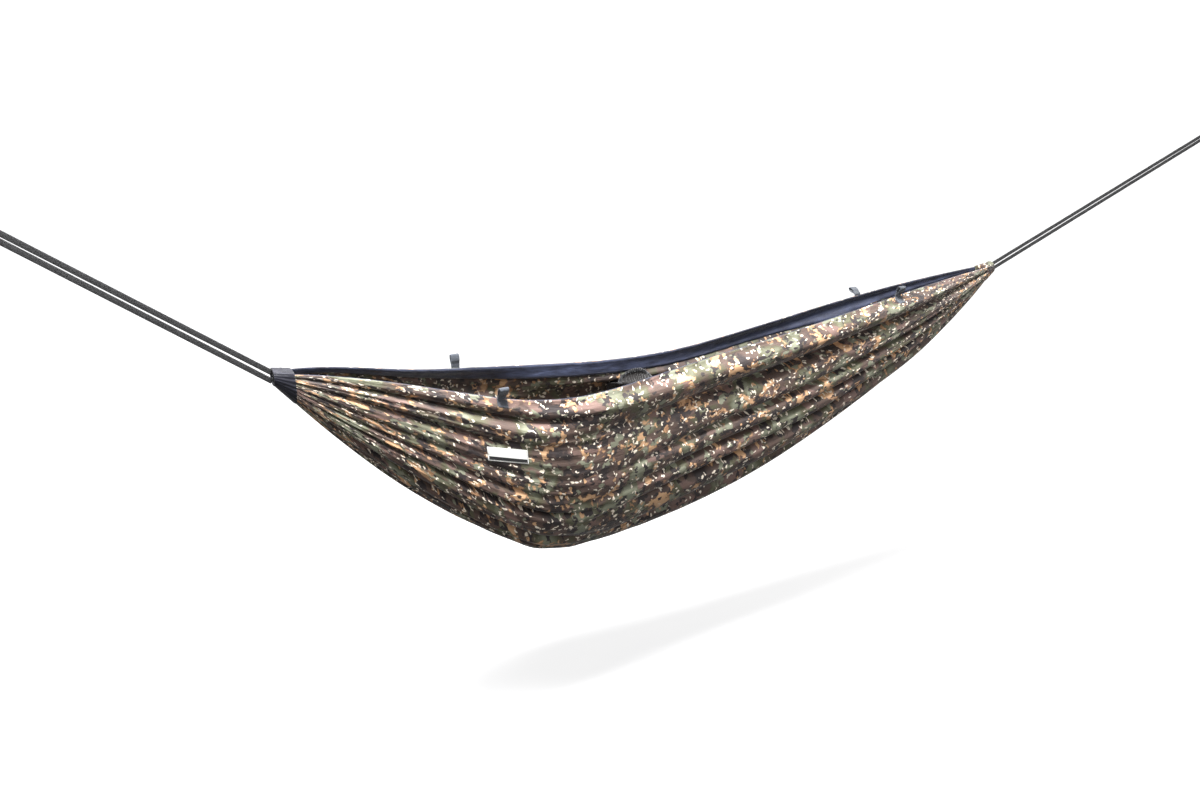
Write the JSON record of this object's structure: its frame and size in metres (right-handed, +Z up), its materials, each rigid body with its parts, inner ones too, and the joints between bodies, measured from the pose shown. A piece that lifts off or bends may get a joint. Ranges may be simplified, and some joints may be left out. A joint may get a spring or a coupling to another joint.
{
  "type": "camping hammock",
  "caption": "Gathered-end camping hammock hung between webbing eyes, with a double bed, side tie-out loops, a label and an inside pocket.",
  "frame": {"origin": "centre of the left strap's eye, which holds the part", "axes": "+X along the hammock to the right strap's eye, +Y away from the side with the label, +Z up"},
  "size_m": [4.166, 0.378, 1.0445],
  "materials": {
    "webbing": "woven polyester webbing",
    "channel": "gathered nylon",
    "outer_cloth": "printed ripstop nylon with a slight sheen",
    "inner_cloth": "printed ripstop nylon",
    "rim_tape": "dark blue binding tape",
    "loop_webbing": "woven webbing",
    "mesh": "pleated mesh",
    "elastic": "covered elastic",
    "label_cloth": "woven label"
  },
  "bodies": {
    "anchors": {"left_anchor_eye": "webbing", "right_anchor_eye": "webbing"},
    "suspension": {"left_knot": "webbing", "right_knot": "webbing", "left_strand_upper": "webbing", "left_strand_lower": "webbing", "right_strand_upper": "webbing", "right_strand_lower": "webbing", "left_bight": "webbing", "right_bight": "webbing"},
    "bed": {"left_end_channel": "channel", "right_end_channel": "channel", "outer_layer": "outer_cloth", "inner_layer": "inner_cloth", "near_rim_tape": "rim_tape", "far_rim_tape": "rim_tape", "loop_tacks": "loop_webbing", "pocket_panel": "mesh", "pocket_elastic": "elastic", "side_label": "label_cloth"},
    "near_left_loop_body": {"near_left_loop": "loop_webbing"},
    "near_right_loop_body": {"near_right_loop": "loop_webbing"},
    "far_left_loop_body": {"far_left_loop": "loop_webbing"},
    "far_right_loop_body": {"far_right_loop": "loop_webbing"}
  },
  "joints": [
    {"name": "swing", "type": "hinge", "parent": "anchors", "child": "suspension", "pos_m": [0.0288, 0, -0.0216], "axis": [1, 0, 0.0024], "range_deg": [-35, 35]},
    {"name": "tip", "type": "hinge", "parent": "suspension", "child": "bed", "pos_m": [0.56, 0, -0.42], "axis": [1, 0, 0], "range_deg": [-60, 60]},
    {"name": "near_left_loop_flop", "type": "hinge", "parent": "bed", "child": "near_left_loop_body", "pos_m": [1.0627, -0.144, -0.5108], "axis": [1, 0, 0], "range_deg": [-110, 40], "stiffness_Nm_per_rad": 0.002},
    {"name": "near_right_loop_flop", "type": "hinge", "parent": "bed", "child": "near_right_loop_body", "pos_m": [2.4173, -0.0861, -0.4335], "axis": [1, 0, 0], "range_deg": [-105, 45], "stiffness_Nm_per_rad": 0.002},
    {"name": "far_left_loop_flop", "type": "hinge", "parent": "bed", "child": "far_left_loop_body", "pos_m": [1.0627, 0.144, -0.5108], "axis": [1, 0, 0], "range_deg": [-67, 83], "stiffness_Nm_per_rad": 0.002},
    {"name": "far_right_loop_flop", "type": "hinge", "parent": "bed", "child": "far_right_loop_body", "pos_m": [2.4173, 0.0861, -0.4663], "axis": [1, 0, 0], "range_deg": [-10, 140], "stiffness_Nm_per_rad": 0.002}
  ]
}
